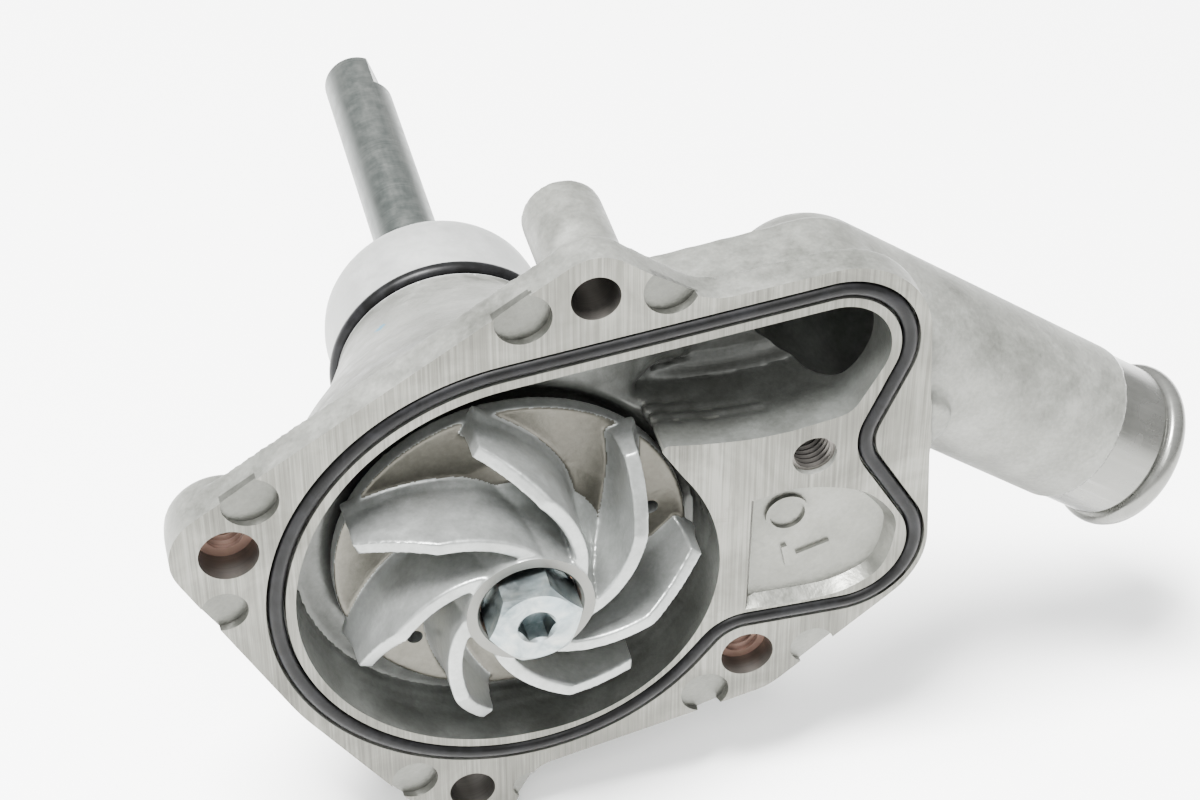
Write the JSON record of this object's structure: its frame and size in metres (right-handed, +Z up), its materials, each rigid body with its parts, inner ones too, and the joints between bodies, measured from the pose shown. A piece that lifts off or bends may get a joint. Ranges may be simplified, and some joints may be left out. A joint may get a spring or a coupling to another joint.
{
  "type": "engine coolant pump",
  "caption": "Cast aluminium coolant pump: bladed impeller in an open volute, hose neck, sealed bearing hub and long drive shaft.",
  "frame": {"origin": "on the shaft axis, in the plane of the machined cover face", "axes": "+Y along the shaft from the cover face to the drive end, +Z up, +X towards the hose neck"},
  "size_m": [0.1434, 0.1355, 0.0953],
  "materials": {
    "cast_aluminium": "cast",
    "seal_rubber": "satin",
    "zinc_steel": "zinc plated",
    "dark_steel": "dark ground",
    "bearing_steel": "polished",
    "spring_steel": "oiled",
    "stainless_steel": "drawn",
    "copper": "satin",
    "ceramic": "lapped",
    "carbon": "lapped",
    "cage_polymer": "moulded"
  },
  "bodies": {
    "housing_body": {"pump_housing": "cast_aluminium", "cover_seal": "seal_rubber", "hub_o_ring": "seal_rubber", "front_bearing_outer_ring": "bearing_steel", "rear_bearing_outer_ring": "bearing_steel", "bearing_circlip": "spring_steel", "oil_seal": "seal_rubber", "oil_seal_spring": "spring_steel", "seal_case": "stainless_steel", "seal_spring": "spring_steel", "seal_bellows": "seal_rubber", "seal_carbon_ring": "carbon"},
    "rotor": {"pump_shaft": "dark_steel", "impeller": "cast_aluminium", "impeller_bolt": "zinc_steel", "bolt_washer": "copper", "seal_seat": "ceramic", "seal_seat_cup": "seal_rubber", "front_bearing_inner_ring": "bearing_steel", "rear_bearing_inner_ring": "bearing_steel", "spacer_sleeve": "bearing_steel", "shaft_circlip_front": "spring_steel", "shaft_circlip_rear": "spring_steel"},
    "front_cage_set": {"front_bearing_cage": "cage_polymer", "front_bearing_ball_1": "bearing_steel", "front_bearing_ball_2": "bearing_steel", "front_bearing_ball_3": "bearing_steel", "front_bearing_ball_4": "bearing_steel", "front_bearing_ball_5": "bearing_steel", "front_bearing_ball_6": "bearing_steel", "front_bearing_ball_7": "bearing_steel", "front_bearing_ball_8": "bearing_steel", "front_bearing_ball_9": "bearing_steel"},
    "rear_cage_set": {"rear_bearing_cage": "cage_polymer", "rear_bearing_ball_1": "bearing_steel", "rear_bearing_ball_2": "bearing_steel", "rear_bearing_ball_3": "bearing_steel", "rear_bearing_ball_4": "bearing_steel", "rear_bearing_ball_5": "bearing_steel", "rear_bearing_ball_6": "bearing_steel", "rear_bearing_ball_7": "bearing_steel", "rear_bearing_ball_8": "bearing_steel", "rear_bearing_ball_9": "bearing_steel"}
  },
  "joints": [
    {"name": "rotor_spin", "type": "hinge", "parent": "housing_body", "child": "rotor", "pos_m": [0, 0, 0], "axis": [0, 1, 0], "continuous": true},
    {"name": "front_cage_spin", "type": "hinge", "parent": "housing_body", "child": "front_cage_set", "pos_m": [0, 0.039, 0], "axis": [0, 1, 0], "continuous": true},
    {"name": "rear_cage_spin", "type": "hinge", "parent": "housing_body", "child": "rear_cage_set", "pos_m": [0, 0.053, 0], "axis": [0, 1, 0], "continuous": true}
  ],
  "couplings": [
    {"joint": "front_cage_spin", "follows": "rotor_spin", "ratio": 0.40078},
    {"joint": "rear_cage_spin", "follows": "rotor_spin", "ratio": 0.40078}
  ]
}
